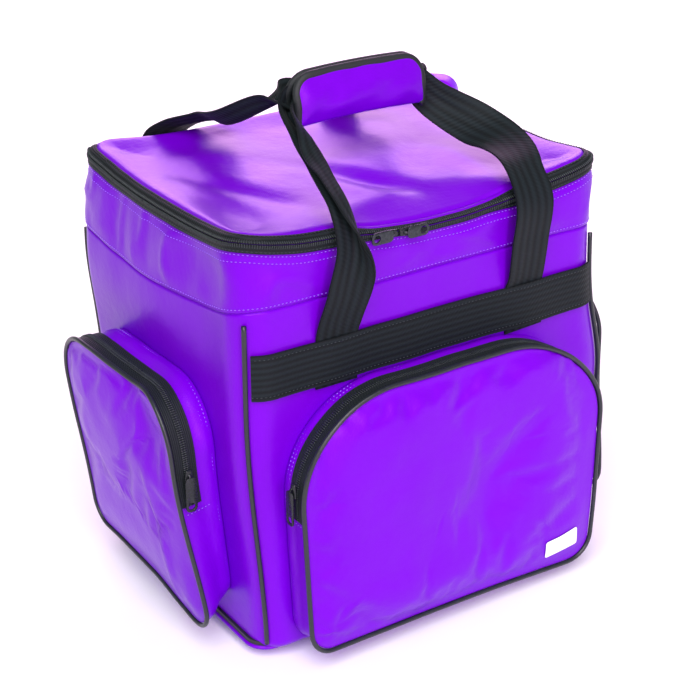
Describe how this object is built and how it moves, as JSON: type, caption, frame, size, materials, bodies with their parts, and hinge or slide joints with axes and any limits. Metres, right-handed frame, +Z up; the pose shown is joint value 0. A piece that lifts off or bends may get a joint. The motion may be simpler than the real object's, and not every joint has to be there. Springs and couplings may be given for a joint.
{
  "type": "skate bag",
  "caption": "Soft wheeled skate bag with a zipped lid, zipped outer pockets, carry straps with a padded grip, a telescoping corner pull handle and recessed swivel casters.",
  "frame": {"origin": "middle of the whole bag's plan, on the floor that the wheels stand on", "axes": "+X to the bag's right, -Y its front with the large pocket, +Z up"},
  "size_m": [0.471, 0.3732, 0.506],
  "materials": {
    "purple_cloth": "satin",
    "purple_plastic": "gloss",
    "black_trim": "matte",
    "dark_webbing": "matte",
    "black_plastic": "matte",
    "tube_metal": "satin",
    "caster_steel": "satin",
    "zip_metal": "satin",
    "wheel_rubber": "matte",
    "label_cloth": "satin"
  },
  "bodies": {
    "bag": {"body_shell": "purple_cloth", "base_board": "black_plastic", "top_rear_panel": "purple_cloth", "zip_tape_body": "black_trim", "corner_piping_fl": "black_trim", "corner_piping_fr": "black_trim", "corner_piping_bl": "black_trim", "corner_piping_br": "black_trim", "front_band": "dark_webbing", "back_band": "dark_webbing", "front_anchor_l": "dark_webbing", "front_anchor_r": "dark_webbing", "back_anchor_l": "dark_webbing", "back_anchor_r": "dark_webbing", "front_pocket_pouch": "purple_cloth", "front_pocket_piping": "black_trim", "front_pocket_zip_tape": "black_trim", "left_pocket_pouch": "purple_cloth", "left_pocket_piping": "black_trim", "left_pocket_zip_tape": "black_trim", "right_pocket_pouch": "purple_cloth", "right_pocket_piping": "black_trim", "right_pocket_zip_tape": "black_trim", "label_patch": "label_cloth", "handle_tube_outer": "tube_metal", "handle_foot": "black_plastic", "handle_top_bracket": "black_plastic"},
    "lid": {"lid_panel": "purple_cloth", "zip_tape_lid": "black_trim"},
    "front_strap": {"front_carry_strap": "dark_webbing", "grip_wrap": "purple_cloth"},
    "grip_flap": {"grip_flap": "purple_cloth"},
    "back_strap": {"back_carry_strap": "dark_webbing"},
    "handle_middle": {"handle_tube_middle": "tube_metal"},
    "handle": {"handle_tube_inner": "tube_metal", "handle_grip": "purple_plastic"},
    "button": {"handle_button": "purple_plastic"},
    "caster_fl": {"caster_fork_fl": "caster_steel", "caster_axle_fl": "caster_steel"},
    "wheel_fl": {"caster_wheel_fl": "wheel_rubber"},
    "caster_fr": {"caster_fork_fr": "caster_steel", "caster_axle_fr": "caster_steel"},
    "wheel_fr": {"caster_wheel_fr": "wheel_rubber"},
    "caster_bl": {"caster_fork_bl": "caster_steel", "caster_axle_bl": "caster_steel"},
    "wheel_bl": {"caster_wheel_bl": "wheel_rubber"},
    "caster_br": {"caster_fork_br": "caster_steel", "caster_axle_br": "caster_steel"},
    "wheel_br": {"caster_wheel_br": "wheel_rubber"},
    "main_left_slider": {"main_left_slider": "zip_metal"},
    "main_left_pull": {"main_left_pull": "zip_metal"},
    "main_right_slider": {"main_right_slider": "zip_metal"},
    "main_right_pull": {"main_right_pull": "zip_metal"},
    "front_pocket_slider": {"front_pocket_slider": "zip_metal"},
    "front_pocket_pull": {"front_pocket_pull": "zip_metal"},
    "left_pocket_slider": {"left_pocket_slider": "zip_metal"},
    "left_pocket_pull": {"left_pocket_pull": "zip_metal"},
    "right_pocket_slider": {"right_pocket_slider": "zip_metal"},
    "right_pocket_pull": {"right_pocket_pull": "zip_metal"}
  },
  "joints": [
    {"name": "lid_hinge", "type": "hinge", "parent": "bag", "child": "lid", "pos_m": [0, 0.0929, 0.416], "axis": [-1, 0, 0], "range_deg": [0, 100]},
    {"name": "front_strap_swing", "type": "hinge", "parent": "bag", "child": "front_strap", "pos_m": [0, -0.1504, 0.349], "axis": [1, 0, 0], "range_deg": [0, 200], "deforming": ["front_carry_strap"]},
    {"name": "back_strap_swing", "type": "hinge", "parent": "bag", "child": "back_strap", "pos_m": [0, 0.1462, 0.349], "axis": [-1, 0, 0], "range_deg": [0, 200], "deforming": ["back_carry_strap"]},
    {"name": "grip_flap_hinge", "type": "hinge", "parent": "front_strap", "child": "grip_flap", "pos_m": [0, -0.0148, 0.461], "axis": [-1, 0, 0], "range_deg": [0, 100]},
    {"name": "handle_lower_slide", "type": "slide", "parent": "bag", "child": "handle_middle", "axis": [0, 0, 1], "range_m": [0, 0.26]},
    {"name": "handle_upper_slide", "type": "slide", "parent": "handle_middle", "child": "handle", "axis": [0, 0, 1], "range_m": [0, 0.25]},
    {"name": "handle_button_press", "type": "slide", "parent": "handle", "child": "button", "axis": [0, 0, -1], "range_m": [0, 0.002], "stiffness_N_per_m": 300},
    {"name": "caster_swivel_fl", "type": "hinge", "parent": "bag", "child": "caster_fl", "pos_m": [-0.13, -0.0871, 0.0345], "axis": [0, 0, 1], "continuous": true},
    {"name": "wheel_spin_fl", "type": "hinge", "parent": "caster_fl", "child": "wheel_fl", "pos_m": [-0.13, -0.0791, 0.016], "axis": [1, 0, 0], "continuous": true},
    {"name": "caster_swivel_fr", "type": "hinge", "parent": "bag", "child": "caster_fr", "pos_m": [0.13, -0.0871, 0.0345], "axis": [0, 0, 1], "continuous": true},
    {"name": "wheel_spin_fr", "type": "hinge", "parent": "caster_fr", "child": "wheel_fr", "pos_m": [0.13, -0.0791, 0.016], "axis": [1, 0, 0], "continuous": true},
    {"name": "caster_swivel_bl", "type": "hinge", "parent": "bag", "child": "caster_bl", "pos_m": [-0.13, 0.0829, 0.0345], "axis": [0, 0, 1], "continuous": true},
    {"name": "wheel_spin_bl", "type": "hinge", "parent": "caster_bl", "child": "wheel_bl", "pos_m": [-0.13, 0.0909, 0.016], "axis": [1, 0, 0], "continuous": true},
    {"name": "caster_swivel_br", "type": "hinge", "parent": "bag", "child": "caster_br", "pos_m": [0.13, 0.0829, 0.0345], "axis": [0, 0, 1], "continuous": true},
    {"name": "wheel_spin_br", "type": "hinge", "parent": "caster_br", "child": "wheel_br", "pos_m": [0.13, 0.0909, 0.016], "axis": [1, 0, 0], "continuous": true},
    {"name": "main_left_slide", "type": "slide", "parent": "bag", "child": "main_left_slider", "axis": [1, 0, 0], "range_m": [-0.1, 0]},
    {"name": "main_left_pull_swing", "type": "hinge", "parent": "main_left_slider", "child": "main_left_pull", "pos_m": [-0.049, -0.15665, 0.404], "axis": [0, 0, 1], "range_deg": [0, 150]},
    {"name": "main_right_slide", "type": "slide", "parent": "bag", "child": "main_right_slider", "axis": [1, 0, 0], "range_m": [0, 0.18]},
    {"name": "main_right_pull_swing", "type": "hinge", "parent": "main_right_slider", "child": "main_right_pull", "pos_m": [-0.033, -0.15665, 0.404], "axis": [0, 0, -1], "range_deg": [0, 150]},
    {"name": "front_pocket_slide", "type": "slide", "parent": "bag", "child": "front_pocket_slider", "axis": [0, 0, 1], "range_m": [-0.022, 0]},
    {"name": "front_pocket_pull_swing", "type": "hinge", "parent": "front_pocket_slider", "child": "front_pocket_pull", "pos_m": [-0.16255, -0.1716, 0.192], "axis": [0, 1, 0], "range_deg": [0, 150]},
    {"name": "left_pocket_slide", "type": "slide", "parent": "bag", "child": "left_pocket_slider", "axis": [0, 0, 1], "range_m": [-0.022, 0.012]},
    {"name": "left_pocket_pull_swing", "type": "hinge", "parent": "left_pocket_slider", "child": "left_pocket_pull", "pos_m": [-0.2205, -0.10365, 0.192], "axis": [-1, 0, 0], "range_deg": [0, 150]},
    {"name": "right_pocket_slide", "type": "slide", "parent": "bag", "child": "right_pocket_slider", "axis": [0, 0, 1], "range_m": [-0.022, 0.012]},
    {"name": "right_pocket_pull_swing", "type": "hinge", "parent": "right_pocket_slider", "child": "right_pocket_pull", "pos_m": [0.2205, -0.10365, 0.192], "axis": [-1, 0, 0], "range_deg": [0, 150]}
  ],
  "couplings": [
    {"joint": "front_strap_swing", "follows": "lid_hinge", "ratio": 2},
    {"joint": "back_strap_swing", "follows": "lid_hinge", "ratio": 2}
  ]
}
